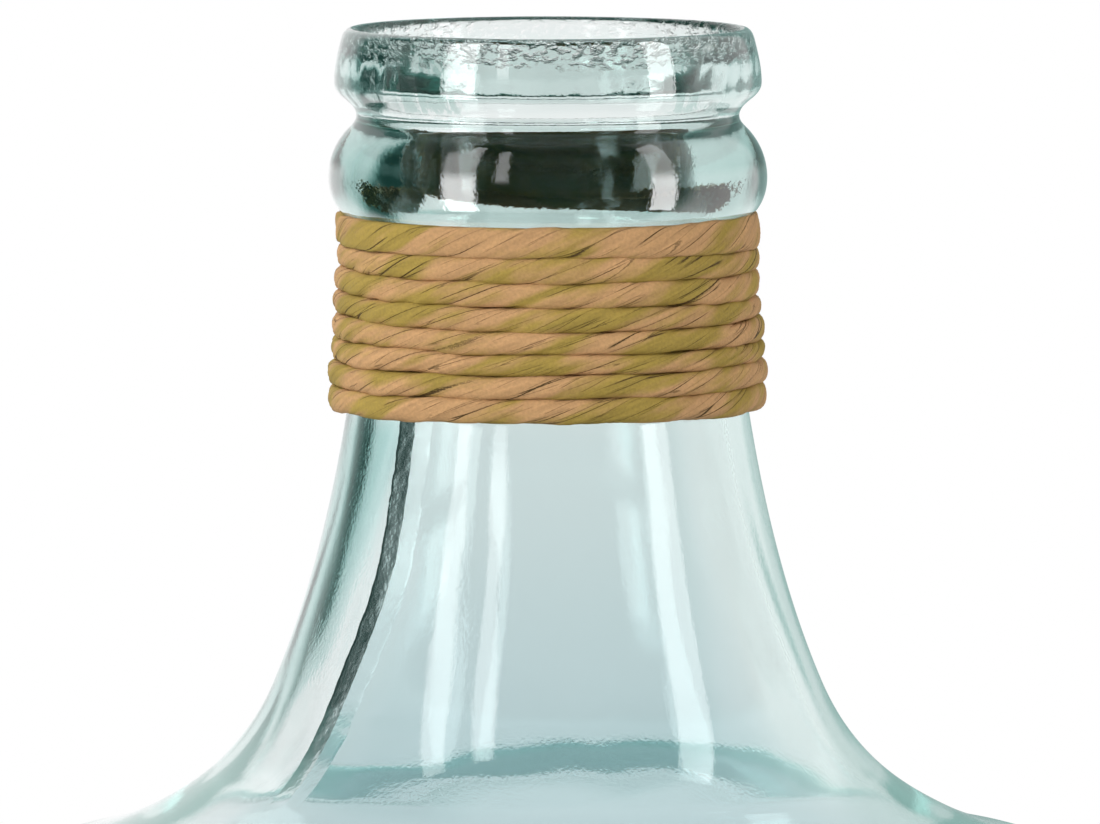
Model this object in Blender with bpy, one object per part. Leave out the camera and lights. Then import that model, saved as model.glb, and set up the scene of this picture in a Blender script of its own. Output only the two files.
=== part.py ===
"""Blown glass vase with a paper cord wound round its neck.

Metres, +Z up. The origin is the centre of the foot, on the surface that the vase stands on.
The glass is an outline of levels, given from the rim downwards and joined by smooth curves,
turned round the Z axis. The cord is one unbroken winding that rolls on that same outline.
"""

import math
from typing import NamedTuple

import bmesh
import bpy
from mathutils import Vector
from mathutils.geometry import interpolate_bezier

# Whole vase
HEIGHT = 0.405
FACETS = 56
CURVE_SAG = 0.00022
CURVE_STEP_DEG = 26.0

# Rolled collar lip, from the crown of the rim to the groove under it
RIM_RADIUS = 0.0460
LIP_EDGE_RADIUS = 0.0487
LIP_EDGE_DROP = 0.0040
LIP_EDGE_LEAN_DEG = 14.0
LIP_EDGE_WALL = 0.0047
LIP_RADIUS = 0.0500
LIP_DROP = 0.0087
LIP_WALL = 0.0066
LIP_UNDERSIDE_RADIUS = 0.0480
LIP_UNDERSIDE_DROP = 0.0034
LIP_UNDERSIDE_LEAN_DEG = -51.0

# Groove and second bulge
GROOVE_RADIUS = 0.04475
GROOVE_DROP = 0.0044
GROOVE_WALL = 0.0040
BULGE_RISE_RADIUS = 0.0470
BULGE_RISE_DROP = 0.0034
BULGE_RISE_LEAN_DEG = 43.0
BULGE_RADIUS = 0.05135
BULGE_DROP = 0.0111
BULGE_WALL = 0.0076
BULGE_UNDERSIDE_RADIUS = 0.0481
BULGE_UNDERSIDE_DROP = 0.0084
BULGE_UNDERSIDE_LEAN_DEG = -45.0

# Neck that the cord is wound on
WAIST_RADIUS = 0.0442
WAIST_DROP = 0.0086
WAIST_WALL = 0.0046
NECK_FOOT_RADIUS = 0.0469
NECK_FOOT_LEAN_DEG = 9.0
NECK_FOOT_WALL = 0.0052

# Bell below the neck, flaring into the shoulder
BELL_RADIUS = 0.0554
BELL_DROP = 0.0394
BELL_LEAN_DEG = 16.0
BELL_WALL = 0.0052
FLARE_RADIUS = 0.0644
FLARE_DROP = 0.0257
FLARE_LEAN_DEG = 23.0
FLARE_WALL = 0.0052
SHOULDER_RADIUS = 0.0780
SHOULDER_DROP = 0.0195
SHOULDER_LEAN_DEG = 47.0
SHOULDER_WALL = 0.0050
APRON_RADIUS = 0.0965
APRON_DROP = 0.0120
APRON_LEAN_DEG = 64.0
APRON_WALL = 0.0048
BROW_RADIUS = 0.1190
BROW_DROP = 0.0071
BROW_LEAN_DEG = 79.0
BROW_WALL = 0.0046

# Body, heel and foot
BODY_RADIUS = 0.1450
BODY_DROP = 0.0477
BODY_WALL = 0.0042
HEEL_RADIUS = 0.1290
HEEL_HEIGHT = 0.0330
HEEL_LEAN_DEG = -17.0
HEEL_WALL = 0.0060
FOOT_RADIUS = 0.1000
FOOT_RING_WIDTH = 0.0110
FLOOR_WALL = 0.0080
PUSH_UP_HEIGHT = 0.0120
PUSH_UP_LEAN_DEG = -112.0

# Winding on the neck
CORD_DIAMETER = 0.00515
TURN_GAP = 0.0005
CORD_CLEARANCE = 0.0003
TURNS = 8
STEP_TURN = 1.0 / 3.0
POINTS_PER_TURN = 24
CORD_BEVEL_RESOLUTION = 1
BALL_SAMPLES = 16

# Finishes
GLASS_COLOUR = (0.62, 0.76, 0.74, 1.0)
GLASS_ROUGHNESS = 0.03
GLASS_IOR = 1.5
CORD_COLOUR = (0.56, 0.39, 0.21, 1.0)
CORD_ROUGHNESS = 0.8

MERGE_DISTANCE = 0.000001
SHARP_EDGE_DEG = 50.0


class Level(NamedTuple):
    """A level of an outline.

    The lean is in degrees: 0 runs straight down, 90 straight out and -90 straight in.
    """

    radius: float
    depth: float
    lean: float
    wall: float


def clear_scene():
    """Removes whatever the scene holds."""
    for item in list(bpy.data.objects):
        bpy.data.objects.remove(item, do_unlink=True)


def glass_levels():
    """Gives the levels of the outer outline, from the crown of the rim to the foot."""
    drops = [
        (RIM_RADIUS, 0.0, 90.0, LIP_EDGE_WALL),
        (LIP_EDGE_RADIUS, LIP_EDGE_DROP, LIP_EDGE_LEAN_DEG, LIP_EDGE_WALL),
        (LIP_RADIUS, LIP_DROP, 0.0, LIP_WALL),
        (LIP_UNDERSIDE_RADIUS, LIP_UNDERSIDE_DROP, LIP_UNDERSIDE_LEAN_DEG, None),
        (GROOVE_RADIUS, GROOVE_DROP, 0.0, GROOVE_WALL),
        (BULGE_RISE_RADIUS, BULGE_RISE_DROP, BULGE_RISE_LEAN_DEG, None),
        (BULGE_RADIUS, BULGE_DROP, 0.0, BULGE_WALL),
        (BULGE_UNDERSIDE_RADIUS, BULGE_UNDERSIDE_DROP, BULGE_UNDERSIDE_LEAN_DEG, None),
        (WAIST_RADIUS, WAIST_DROP, 0.0, WAIST_WALL),
        (NECK_FOOT_RADIUS, TURNS * turn_pitch() - WAIST_DROP, NECK_FOOT_LEAN_DEG, NECK_FOOT_WALL),
        (BELL_RADIUS, BELL_DROP, BELL_LEAN_DEG, BELL_WALL),
        (FLARE_RADIUS, FLARE_DROP, FLARE_LEAN_DEG, FLARE_WALL),
        (SHOULDER_RADIUS, SHOULDER_DROP, SHOULDER_LEAN_DEG, SHOULDER_WALL),
        (APRON_RADIUS, APRON_DROP, APRON_LEAN_DEG, APRON_WALL),
        (BROW_RADIUS, BROW_DROP, BROW_LEAN_DEG, BROW_WALL),
        (BODY_RADIUS, BODY_DROP, 0.0, BODY_WALL),
    ]
    levels = []
    depth = 0.0
    for radius, drop, lean, wall in drops:
        depth += drop
        levels.append(Level(radius, depth, lean, wall))
    levels.append(Level(HEEL_RADIUS, HEIGHT - HEEL_HEIGHT, HEEL_LEAN_DEG, HEEL_WALL))
    levels.append(Level(FOOT_RADIUS, HEIGHT, -90.0, FLOOR_WALL))
    return levels


def turn_pitch():
    """Gives the height from one turn of the cord to the next."""
    return CORD_DIAMETER + TURN_GAP


def winding_top():
    """Gives the depth below the rim at which the winding starts, under the second bulge."""
    return (
        LIP_EDGE_DROP + LIP_DROP + LIP_UNDERSIDE_DROP + GROOVE_DROP
        + BULGE_RISE_DROP + BULGE_DROP + BULGE_UNDERSIDE_DROP
    )


def inner_level(level):
    """Gives the level on the inner side of the glass, one wall in from an outer level."""
    lean = math.radians(level.lean)
    radius = level.radius - level.wall * math.cos(lean)
    depth = level.depth + level.wall * math.sin(lean)
    return Level(radius, depth, level.lean, level.wall)


def curve_between(upper, lower):
    """Gives the points from one level to the next, as (radius, depth). An even bend is an arc.

    A straight step between two points lies within CURVE_SAG of the curve.
    """
    start = Vector((upper.radius, upper.depth))
    end = Vector((lower.radius, lower.depth))
    chord = end - start
    chord_lean = math.degrees(math.atan2(chord.x, chord.y))
    bend = math.radians(abs(chord_lean - upper.lean) + abs(lower.lean - chord_lean))
    turn = math.radians(lower.lean - upper.lean)
    pull = chord.length / (3.0 * math.cos(turn / 4.0) ** 2)
    start_lean = math.radians(upper.lean)
    end_lean = math.radians(lower.lean)
    leaving = start + pull * Vector((math.sin(start_lean), math.cos(start_lean)))
    arriving = end - pull * Vector((math.sin(end_lean), math.cos(end_lean)))
    steps_for_sag = math.sqrt(chord.length * bend / (8.0 * CURVE_SAG))
    steps_for_bend = bend / math.radians(CURVE_STEP_DEG)
    steps = math.ceil(max(1.0, steps_for_sag, steps_for_bend))
    return interpolate_bezier(start, leaving, arriving, end, steps + 1)


def outline_through(levels):
    """Joins levels into one outline of (radius, height) points."""
    points = [Vector((levels[0].radius, levels[0].depth))]
    for upper, lower in zip(levels, levels[1:]):
        points.extend(curve_between(upper, lower)[1:])
    return [(point.x, HEIGHT - point.y) for point in points]


def outer_outline():
    """Gives the outer side of the glass, from the rim to the centre of the push-up."""
    ring_inside = FOOT_RADIUS - FOOT_RING_WIDTH
    push_up = [
        Level(ring_inside, HEIGHT, PUSH_UP_LEAN_DEG, FLOOR_WALL),
        Level(0.0, HEIGHT - PUSH_UP_HEIGHT, -90.0, FLOOR_WALL),
    ]
    return outline_through(glass_levels()) + outline_through(push_up)


def inner_outline():
    """Gives the inner side of the glass, from the rim to the centre of the floor."""
    levels = [inner_level(level) for level in glass_levels()[1:] if level.wall is not None]
    rim = Level(RIM_RADIUS, 0.0, -90.0, LIP_EDGE_WALL)
    floor = Level(0.0, HEIGHT - PUSH_UP_HEIGHT - FLOOR_WALL, -90.0, FLOOR_WALL)
    return outline_through([rim] + levels + [floor])


def turned_mesh(name, outline):
    """Turns an outline of (radius, height) points round the Z axis into a closed mesh."""
    shape = bmesh.new()
    verts = [shape.verts.new((radius, 0.0, height)) for radius, height in outline]
    edges = [shape.edges.new(pair) for pair in zip(verts, verts[1:])]
    bmesh.ops.spin(
        shape,
        geom=verts + edges,
        cent=(0.0, 0.0, 0.0),
        axis=(0.0, 0.0, 1.0),
        angle=math.tau,
        steps=FACETS,
        use_duplicate=False,
    )
    bmesh.ops.remove_doubles(shape, verts=shape.verts[:], dist=MERGE_DISTANCE)
    bmesh.ops.recalc_face_normals(shape, faces=shape.faces[:])
    mesh = bpy.data.meshes.new(name)
    shape.to_mesh(mesh)
    shape.free()
    mesh.shade_smooth()
    mesh.set_sharp_from_angle(angle=math.radians(SHARP_EDGE_DEG))
    return mesh


def radius_at(outline, height):
    """Gives the outer radius of the glass at a height, from its outline."""
    for (radius_a, height_a), (radius_b, height_b) in zip(outline, outline[1:]):
        if height_b <= height <= height_a and height_a > height_b:
            share = (height_a - height) / (height_a - height_b)
            return radius_a + share * (radius_b - radius_a)
    raise ValueError("the height is outside the outline")


def winding_radius(outline, height):
    """Gives the radius of the cord's centre, as a ball of its size that rolls on the glass."""
    reach = CORD_DIAMETER / 2 + CORD_CLEARANCE
    furthest = 0.0
    for sample in range(BALL_SAMPLES + 1):
        offset = reach * (2.0 * sample / BALL_SAMPLES - 1.0)
        rise = math.sqrt(reach**2 - offset**2)
        furthest = max(furthest, radius_at(outline, height + offset) + rise)
    return furthest / math.cos(math.pi / POINTS_PER_TURN)


def rows_down(turns):
    """Gives the rows that the cord has stepped down after some turns, counted from the back.

    The cord keeps level round the front and steps down one row each time it passes the back.
    """
    passing = math.floor(turns + 0.5)
    share = min(max((turns - passing) / STEP_TURN + 0.5, 0.0), 1.0)
    return passing - 1 + share * share * (3.0 - 2.0 * share)


def winding_points(outline):
    """Gives the centre line of the winding, with a straight run of one diameter at each end."""
    first_row = HEIGHT - winding_top() - turn_pitch() / 2
    start = STEP_TURN / 2
    count = round((TURNS - STEP_TURN) * POINTS_PER_TURN)
    points = []
    for index in range(count + 1):
        turns = start + index / POINTS_PER_TURN
        height = first_row - rows_down(turns) * turn_pitch()
        angle = math.tau * (turns + 0.25)
        radius = winding_radius(outline, height)
        points.append(Vector((radius * math.cos(angle), radius * math.sin(angle), height)))
    first_run = (points[0] - points[1]).normalized() * CORD_DIAMETER
    last_run = (points[-1] - points[-2]).normalized() * CORD_DIAMETER
    return [points[0] + first_run] + points + [points[-1] + last_run]


def least_gap(points):
    """Measures the least gap from one turn of the winding to another."""
    least = math.inf
    for index, point in enumerate(points):
        for other in range(index + POINTS_PER_TURN // 2, len(points) - 1):
            start = points[other]
            run = points[other + 1] - start
            share = min(max((point - start).dot(run) / run.length_squared, 0.0), 1.0)
            least = min(least, (point - start - share * run).length - CORD_DIAMETER)
    return least


def finish_material(name, colour, roughness):
    """Makes a plain Principled material, and gives it with its shader."""
    material = bpy.data.materials.new(name)
    material.use_nodes = True
    shader = material.node_tree.nodes["Principled BSDF"]
    shader.inputs["Base Color"].default_value = colour
    shader.inputs["Roughness"].default_value = roughness
    shader.inputs["Metallic"].default_value = 0.0
    return material, shader


def add_vessel(parent):
    """Adds the glass vessel, open at the rim, with its walls and its floor in one piece."""
    outline = list(reversed(inner_outline())) + outer_outline()[1:]
    mesh = turned_mesh("glass_vessel", outline)
    material, shader = finish_material("recycled_glass", GLASS_COLOUR, GLASS_ROUGHNESS)
    shader.inputs["IOR"].default_value = GLASS_IOR
    shader.inputs["Transmission Weight"].default_value = 1.0
    mesh.materials.append(material)
    vessel = bpy.data.objects.new("glass_vessel", mesh)
    vessel.parent = parent
    bpy.context.collection.objects.link(vessel)


def add_rope(parent):
    """Adds the cord on the neck, as one round tube along the winding."""
    points = winding_points(outer_outline())
    print(f"least gap of the winding to itself: {least_gap(points) * 1000:.3f} mm")
    neck_top = Vector((0.0, 0.0, HEIGHT - winding_top()))
    curve = bpy.data.curves.new("neck_rope", "CURVE")
    curve.dimensions = "3D"
    curve.bevel_depth = CORD_DIAMETER / 2
    curve.bevel_resolution = CORD_BEVEL_RESOLUTION
    curve.use_fill_caps = True
    spline = curve.splines.new("POLY")
    spline.points.add(len(points) - 1)
    for target, point in zip(spline.points, points):
        target.co = (*(point - neck_top), 1.0)
    material, _ = finish_material("paper_cord", CORD_COLOUR, CORD_ROUGHNESS)
    curve.materials.append(material)
    rope = bpy.data.objects.new("neck_rope", curve)
    rope.location = neck_top
    rope.parent = parent
    bpy.context.collection.objects.link(rope)


def main():
    """Builds the vase."""
    clear_scene()
    vase = bpy.data.objects.new("vase", None)
    bpy.context.collection.objects.link(vase)
    add_vessel(vase)
    add_rope(vase)


main()
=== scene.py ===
"""Looks of the blown glass vase with a paper cord on its neck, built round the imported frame."""

import logging
import math
from dataclasses import dataclass, field

import bmesh
import bpy
import numpy as np
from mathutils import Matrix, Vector


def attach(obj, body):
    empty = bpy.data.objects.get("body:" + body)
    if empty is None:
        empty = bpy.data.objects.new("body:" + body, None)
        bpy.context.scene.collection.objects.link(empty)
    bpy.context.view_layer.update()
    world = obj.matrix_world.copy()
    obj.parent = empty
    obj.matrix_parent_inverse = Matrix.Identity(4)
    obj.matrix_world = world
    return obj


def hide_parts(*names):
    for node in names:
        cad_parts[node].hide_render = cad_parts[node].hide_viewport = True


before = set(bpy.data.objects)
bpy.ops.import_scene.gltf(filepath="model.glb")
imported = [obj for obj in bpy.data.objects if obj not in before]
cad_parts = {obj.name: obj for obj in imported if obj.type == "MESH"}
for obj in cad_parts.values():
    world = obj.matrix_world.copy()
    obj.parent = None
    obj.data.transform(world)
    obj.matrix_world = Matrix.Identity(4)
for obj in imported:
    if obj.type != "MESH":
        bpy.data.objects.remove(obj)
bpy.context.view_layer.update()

LOG = logging.getLogger("vase")
MM = 0.001
HEIGHT = 0.405
LEVEL_WAY = (1.0, 1.0, 0.0)
Colour = tuple[float, float, float, float]
Span = tuple[float, float]
Triple = tuple[float, float, float]
Sizes = tuple[float, ...]
Steps = tuple[Span, ...]
Socket = bpy.types.NodeSocket
Outputs = bpy.types.bpy_prop_collection
WHITE: Colour = (1.0, 1.0, 1.0, 1.0)
BLACK: Colour = (0.0, 0.0, 0.0, 1.0)


@dataclass(frozen=True)
class Level:
    """A level of an outline, in millimetres below the rim.

    The lean is in degrees: 0 runs straight down, 90 straight out and -90 straight in.
    """

    radius: float
    depth: float
    lean: float

    def heading(self) -> np.ndarray:
        """Gives the way that the outline runs here, as (outward, downward)."""
        return np.array([math.sin(math.radians(self.lean)), math.cos(math.radians(self.lean))])


OUTER_LEVELS = (
    Level(46.0, 0.0, 90.0),
    Level(48.7, 4.0, 14.0),
    Level(50.0, 12.7, 0.0),
    Level(48.0, 16.1, -51.0),
    Level(44.75, 20.5, 0.0),
    Level(47.0, 23.9, 43.0),
    Level(51.35, 35.0, 0.0),
    Level(48.1, 43.4, -45.0),
    Level(44.2, 52.0, 0.0),
    Level(46.9, 88.6, 9.0),
    Level(55.4, 128.0, 16.0),
    Level(64.4, 153.7, 23.0),
    Level(78.0, 173.2, 47.0),
    Level(96.5, 185.2, 64.0),
    Level(119.0, 192.3, 79.0),
    Level(145.0, 240.0, 0.0),
    Level(129.0, 372.0, -17.0),
    Level(100.0, 405.0, -90.0),
)
PUSH_UP_LEVELS = (Level(89.0, 405.0, -112.0), Level(0.0, 393.0, -90.0))
INNER_LEVELS = (
    Level(46.0, 0.0, -90.0),
    Level(44.5, 2.5, -12.0),
    Level(42.4, 10.5, -9.0),
    Level(40.25, 22.44, -2.0),
    Level(39.26, 33.3, -13.6),
    Level(36.15, 43.0, -13.0),
    Level(38.4, 63.1, 4.0),
    Level(41.1, 88.6, 8.3),
    Level(49.95, 129.6, 15.6),
    Level(60.6, 158.2, 24.6),
    Level(74.3, 177.2, 49.7),
    Level(93.6, 191.1, 73.4),
    Level(118.35, 195.6, 74.3),
    Level(136.7, 240.0, 0.0),
    Level(123.3, 370.2, -17.0),
    Level(100.0, 397.0, -90.0),
    Level(0.0, 385.0, -90.0),
)


def curve_between(upper: Level, lower: Level, row_lengths: Steps) -> np.ndarray:
    """Gives the points from one level to the next. An even bend is an arc.

    Args:
        upper: The level that the curve leaves.
        lower: The level that it reaches.
        row_lengths: The depths down to which a longest step holds, with that step, in millimetres.

    Returns:
        Points as (radius, depth) rows, in millimetres.
    """
    start = np.array([upper.radius, upper.depth])
    end = np.array([lower.radius, lower.depth])
    length = float(np.linalg.norm(end - start))
    turn = math.radians(lower.lean - upper.lean)
    pull = length / (3.0 * math.cos(turn / 4.0) ** 2)
    leaving = start + pull * upper.heading()
    arriving = end - pull * lower.heading()
    step = next(row for limit, row in row_lengths if min(upper.depth, lower.depth) < limit)
    steps = max(4, math.ceil(length / step))
    share = np.linspace(0.0, 1.0, steps + 1)[:, None]
    rest = 1.0 - share
    return rest**3 * start + 3 * rest**2 * share * leaving + 3 * rest * share**2 * arriving + share**3 * end


def outline_through(levels: tuple[Level, ...], row_lengths: Steps) -> np.ndarray:
    """Joins levels into one outline of (radius, depth) points, in millimetres."""
    runs = [curve_between(upper, lower, row_lengths)[1:] for upper, lower in zip(levels, levels[1:])]
    return np.vstack([[[levels[0].radius, levels[0].depth]]] + runs)


@dataclass(frozen=True)
class Waves:
    """A smooth unevenness of a turned surface, summed from some waves.

    The turns are the lowest and highest number of waves round the axis, and the reach is the
    length of a wave down the surface, in millimetres.
    """

    seed: int
    turns: tuple[int, int]
    reach: float
    count: int

    def over(self, around: np.ndarray, depth: np.ndarray) -> np.ndarray:
        """Gives the unevenness at some places.

        Args:
            around: Angles round the axis.
            depth: Depths below the rim, in millimetres.

        Returns:
            A value of about -1 to 1 for each place.
        """
        random = np.random.default_rng(self.seed)
        total = np.zeros(np.broadcast(around, depth).shape)
        for _ in range(self.count):
            number = random.integers(self.turns[0], self.turns[1] + 1)
            slope = random.normal(0.0, 2.0 * math.pi / self.reach)
            phase = random.uniform(0.0, 2.0 * math.pi)
            total += np.cos(number * around + slope * depth + phase)
        return total / math.sqrt(self.count / 2.0)


class NodeSheet:
    """Writes the nodes of one shader, world or geometry tree."""

    def __init__(self, tree: bpy.types.NodeTree) -> None:
        """Takes the tree that the nodes go into."""
        self.tree = tree

    def add(self, kind: str, inputs: dict | None = None, **settings: object) -> bpy.types.Node:
        """Adds a node.

        Args:
            kind: The node's type.
            inputs: A value or another node's output for each named or numbered input.
            **settings: Values of the node's own properties.

        Returns:
            The new node.
        """
        node = self.tree.nodes.new(kind)
        for name, value in settings.items():
            setattr(node, name, value)
        self.fill(node, inputs or {})
        return node

    def fill(self, node: bpy.types.Node, inputs: dict) -> None:
        """Links a node's inputs to other nodes' outputs, or sets their values.

        Args:
            node: The node.
            inputs: A value or another node's output for each named or numbered input.
        """
        for key, value in inputs.items():
            if isinstance(value, bpy.types.NodeSocket):
                self.tree.links.new(value, node.inputs[key])
            else:
                node.inputs[key].default_value = value

    def math(self, operation: str, first: object, second: object = 0.0, third: object = 0.0) -> Socket:
        """Adds a Math node and gives its output."""
        node = self.add("ShaderNodeMath", {0: first, 1: second, 2: third}, operation=operation)
        return node.outputs[0]

    def product(self, first: object, *others: object) -> Socket:
        """Multiplies values.

        Args:
            first: A value.
            *others: The values that it is multiplied by, in turn.

        Returns:
            The product.
        """
        total = first
        for other in others:
            total = self.math("MULTIPLY", total, other)
        return total

    def ramp(self, value: object, span: Span, low: float = 0.0, high: float = 1.0) -> Socket:
        """Turns a span of a value smoothly into low to high."""
        inputs = {"Value": value, "From Min": span[0], "From Max": span[1], "To Min": low, "To Max": high}
        return self.add("ShaderNodeMapRange", inputs, interpolation_type="SMOOTHSTEP").outputs["Result"]

    def band(self, value: object, rise: Span, fall: Span) -> Socket:
        """Masks a band, which starts over the rise and ends over the fall."""
        return self.product(self.ramp(value, rise), self.ramp(value, fall, 1.0, 0.0))

    def blend(self, share: Socket, low: object, high: object) -> Socket:
        """Mixes two numbers."""
        return self.add("ShaderNodeMix", {0: share, 2: low, 3: high}, data_type="FLOAT").outputs[0]

    def tone(self, share: Socket, low: object, high: object) -> Socket:
        """Mixes two colours."""
        return self.add("ShaderNodeMix", {0: share, 6: low, 7: high}, data_type="RGBA").outputs[2]

    def vector(self, operation: str, first: object, second: object = (0.0, 0.0, 0.0)) -> Outputs:
        """Adds a Vector Math node and gives its outputs."""
        return self.add("ShaderNodeVectorMath", {0: first, 1: second}, operation=operation).outputs

    def scaled(self, vector: object, factor: object) -> Socket:
        """Scales a vector or a colour by a number."""
        return self.add("ShaderNodeVectorMath", {0: vector, "Scale": factor}, operation="SCALE").outputs[0]

    def outward(self, place: Socket) -> Socket:
        """Gives the level way from the axis to a place, one long."""
        return self.vector("NORMALIZE", self.vector("MULTIPLY", place, LEVEL_WAY)[0])[0]

    def point(self) -> Socket:
        """Gives the shaded place in object coordinates."""
        return self.add("ShaderNodeTexCoord").outputs["Object"]

    def stretched(self, place: Socket, scale: Triple) -> Socket:
        """Scales a pattern's coordinates along each axis."""
        return self.add("ShaderNodeMapping", {"Vector": place, "Scale": scale}).outputs[0]

    def noise(self, place: Socket, scale: float, detail: float, roughness: float = 0.5) -> Socket:
        """Adds a noise and gives its value."""
        inputs = {"Vector": place, "Scale": scale, "Detail": detail, "Roughness": roughness}
        return self.add("ShaderNodeTexNoise", inputs).outputs["Fac"]

    def attribute(self, name: str) -> Outputs:
        """Reads a mesh attribute."""
        return self.add("ShaderNodeAttribute", attribute_name=name, attribute_type="GEOMETRY").outputs

    def azimuth(self, parts: Outputs) -> Socket:
        """Gives the angle from the front, growing to the right, in degrees."""
        ahead = self.math("MULTIPLY", parts["Y"], -1.0)
        return self.math("DEGREES", self.math("ARCTAN2", parts["X"], ahead))


class GlassSheet(NodeSheet):
    """The nodes of the glass, with the measures of the shaded place that its effects read."""

    def __init__(self, tree: bpy.types.NodeTree) -> None:
        """Adds the place, its distance from the axis, its azimuth and its side of the wall.

        Args:
            tree: The material's node tree.
        """
        super().__init__(tree)
        self.place = self.point()
        self.parts = self.add("ShaderNodeSeparateXYZ", {0: self.place}).outputs
        squares = [self.math("POWER", self.parts[axis], 2.0) for axis in "XY"]
        self.out = self.math("SQRT", self.math("ADD", *squares))
        self.around = self.azimuth(self.parts)
        self.inside = self.attribute("inner_side")["Fac"]
        self.outside = self.math("SUBTRACT", 1.0, self.inside)

    def down(self, depths: Span, low: float = 0.0, high: float = 1.0) -> Socket:
        """Turns a span of depths below the rim, in millimetres, smoothly into low to high."""
        return self.ramp(self.parts["Z"], (HEIGHT - depths[0] * MM, HEIGHT - depths[1] * MM), low, high)


@dataclass(frozen=True)
class GlassFinish:
    """Clear recycled glass with a pale blue-green body.

    Depths are in millimetres below the rim, and azimuths in degrees to the right of the front.
    """

    name: str = "recycled_glass"
    ior: float = 1.5
    density: float = 36.0
    body: Colour = (0.38, 0.665, 0.625, 1.0)
    ripple_scale: float = 55.0
    ripple_height: float = 0.03
    grain_scale: float = 1100.0
    grain_height: float = 0.018
    grain_depths: Span = (165.0, 140.0)
    crinkle_scale: float = 430.0
    crinkle_height: float = 1.1
    crinkle_depths: Span = (8.5, 3.0)
    crinkle_front: Span = (-0.030, -0.040)
    crinkle_behind: float = 0.3
    fold_height: float = 1.0
    fold_reach: float = 5.0
    fold_ragged: float = 1.3
    fold_roughness: float = 0.24
    fold_azimuths: Span = (-44.5, -50.3)
    fold_depths: Span = (118.0, 162.0)
    fold_top: Span = (84.0, 76.0)
    fold_foot: Span = (182.0, 174.0)
    fold_fading: Span = (180.0, 145.0)
    fold_low_share: float = 0.55
    flat_height: float = 0.38
    flat_azimuth: float = -25.0
    flat_width: float = 9.0
    flat_foot: Span = (50.0, 42.0)
    # Painted shade: the colour, scale and places of dark patches painted into the lip's glass.
    shade_patch_tint: Colour = (0.54, 0.68, 0.65, 1.0)
    shade_patch_scale: float = 380.0
    left_shade_patches: Steps = ((-56.0, -46.0), (-30.0, -24.0))
    right_shade_patches: Steps = ((36.0, 44.0), (54.0, 64.0))
    shade_patch_foot: Span = (17.5, 15.0)
    shade_patch_top: Span = (6.0, 3.5)
    # Painted light: a cool tint in the bell's front and back, deeper further down, which stands in for the
    # cooler light seen through the bell.
    tint: Colour = (0.80, 0.872, 0.90, 1.0)
    tint_facing: Span = (0.45, 0.85)
    tint_top: Span = (95.0, 85.0)
    tint_depths: Span = (185.0, 90.0)
    tint_shares: Span = (0.85, 0.3)
    # Painted shade: a deeper teal along the bell's left edge, leaning with depth.
    side_tint: Colour = (0.71, 0.85, 0.84, 1.0)
    side_depth: float = 92.0
    side_lean: float = 3.3
    side_band: Span = (-0.735, -0.785)
    last_glow: Colour = (0.42, 0.48, 0.47, 1.0)
    last_turn: float = 3.5
    lip_glow_depths: Span = (22.0, 14.0)
    lip_glow_shares: Span = (0.45, 1.0)
    neck_depths: Span = (95.0, 80.0)
    back_glow: float = 0.9
    back_behind: Span = (-0.030, 0.020)
    back_aside: Span = (-0.035, 0.010)
    low_glow_depths: Span = (180.0, 148.0)
    low_glow_shares: Span = (0.8, 0.10)
    skin_ior: float = 1.9
    skin_roughness: float = 0.02
    bulge_foot: Span = (45.0, 43.0)
    bulge_top: Span = (33.0, 30.0)
    collar_foot: Span = (17.0, 15.0)
    collar_skin: float = 0.55
    dull_band: Steps = ((-17.5, -15.0), (-6.0, 0.0))
    dulling: float = 0.9

    def fold(self, sheet: GlassSheet) -> tuple[Socket, Socket]:
        """Gives the long fold that runs down the left of the bell's inner side.

        Args:
            sheet: The material's nodes.

        Returns:
            Its height in millimetres, and a mask of where it is.
        """
        centre = sheet.down(self.fold_depths, *self.fold_azimuths)
        aside = sheet.math("RADIANS", sheet.math("SUBTRACT", sheet.around, centre))
        aside = sheet.product(aside, sheet.out, 1.0 / MM)
        ragged = sheet.math("SUBTRACT", sheet.noise(sheet.place, 200.0, 3.0), 0.5)
        aside = sheet.math("MULTIPLY_ADD", ragged, self.fold_ragged, aside)
        near = sheet.math("SUBTRACT", self.fold_reach, sheet.math("ABSOLUTE", aside))
        near = sheet.math("MAXIMUM", near, 0.0)
        fading = sheet.down(self.fold_fading, self.fold_low_share, 1.0)
        ends = sheet.product(fading, sheet.down(self.fold_foot), sheet.down(self.fold_top, 1.0, 0.0))
        height = sheet.product(near, self.fold_height / self.fold_reach, ends, sheet.inside)
        return height, sheet.product(sheet.ramp(near, (0.0, 1.0)), ends, sheet.inside)

    def flats(self, sheet: GlassSheet) -> Socket:
        """Gives the flattened place on the left of the lip's and the bulge's outer side.

        Args:
            sheet: The material's nodes.

        Returns:
            Its height in millimetres, which is negative.
        """
        off = sheet.math("SUBTRACT", sheet.around, self.flat_azimuth)
        off = sheet.math("DIVIDE", off, self.flat_width)
        bell = sheet.math("EXPONENT", sheet.product(off, off, -1.0))
        return sheet.product(bell, -self.flat_height, sheet.down(self.flat_foot), sheet.outside)

    def crinkle(self, sheet: GlassSheet) -> Socket:
        """Gives the wrinkles on the inner side of the lip.

        Args:
            sheet: The material's nodes.

        Returns:
            Their height in millimetres.
        """
        squat = sheet.stretched(sheet.place, (1.0, 1.0, 1.9))
        pits = sheet.ramp(sheet.noise(squat, self.crinkle_scale, 4.0, 0.6), (0.48, 0.74))
        lip = sheet.product(sheet.inside, sheet.down(self.crinkle_depths))
        lip = sheet.product(lip, sheet.ramp(sheet.parts["Y"], self.crinkle_front, self.crinkle_behind, 1.0))
        return sheet.product(lip, sheet.product(pits, self.crinkle_height))

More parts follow.
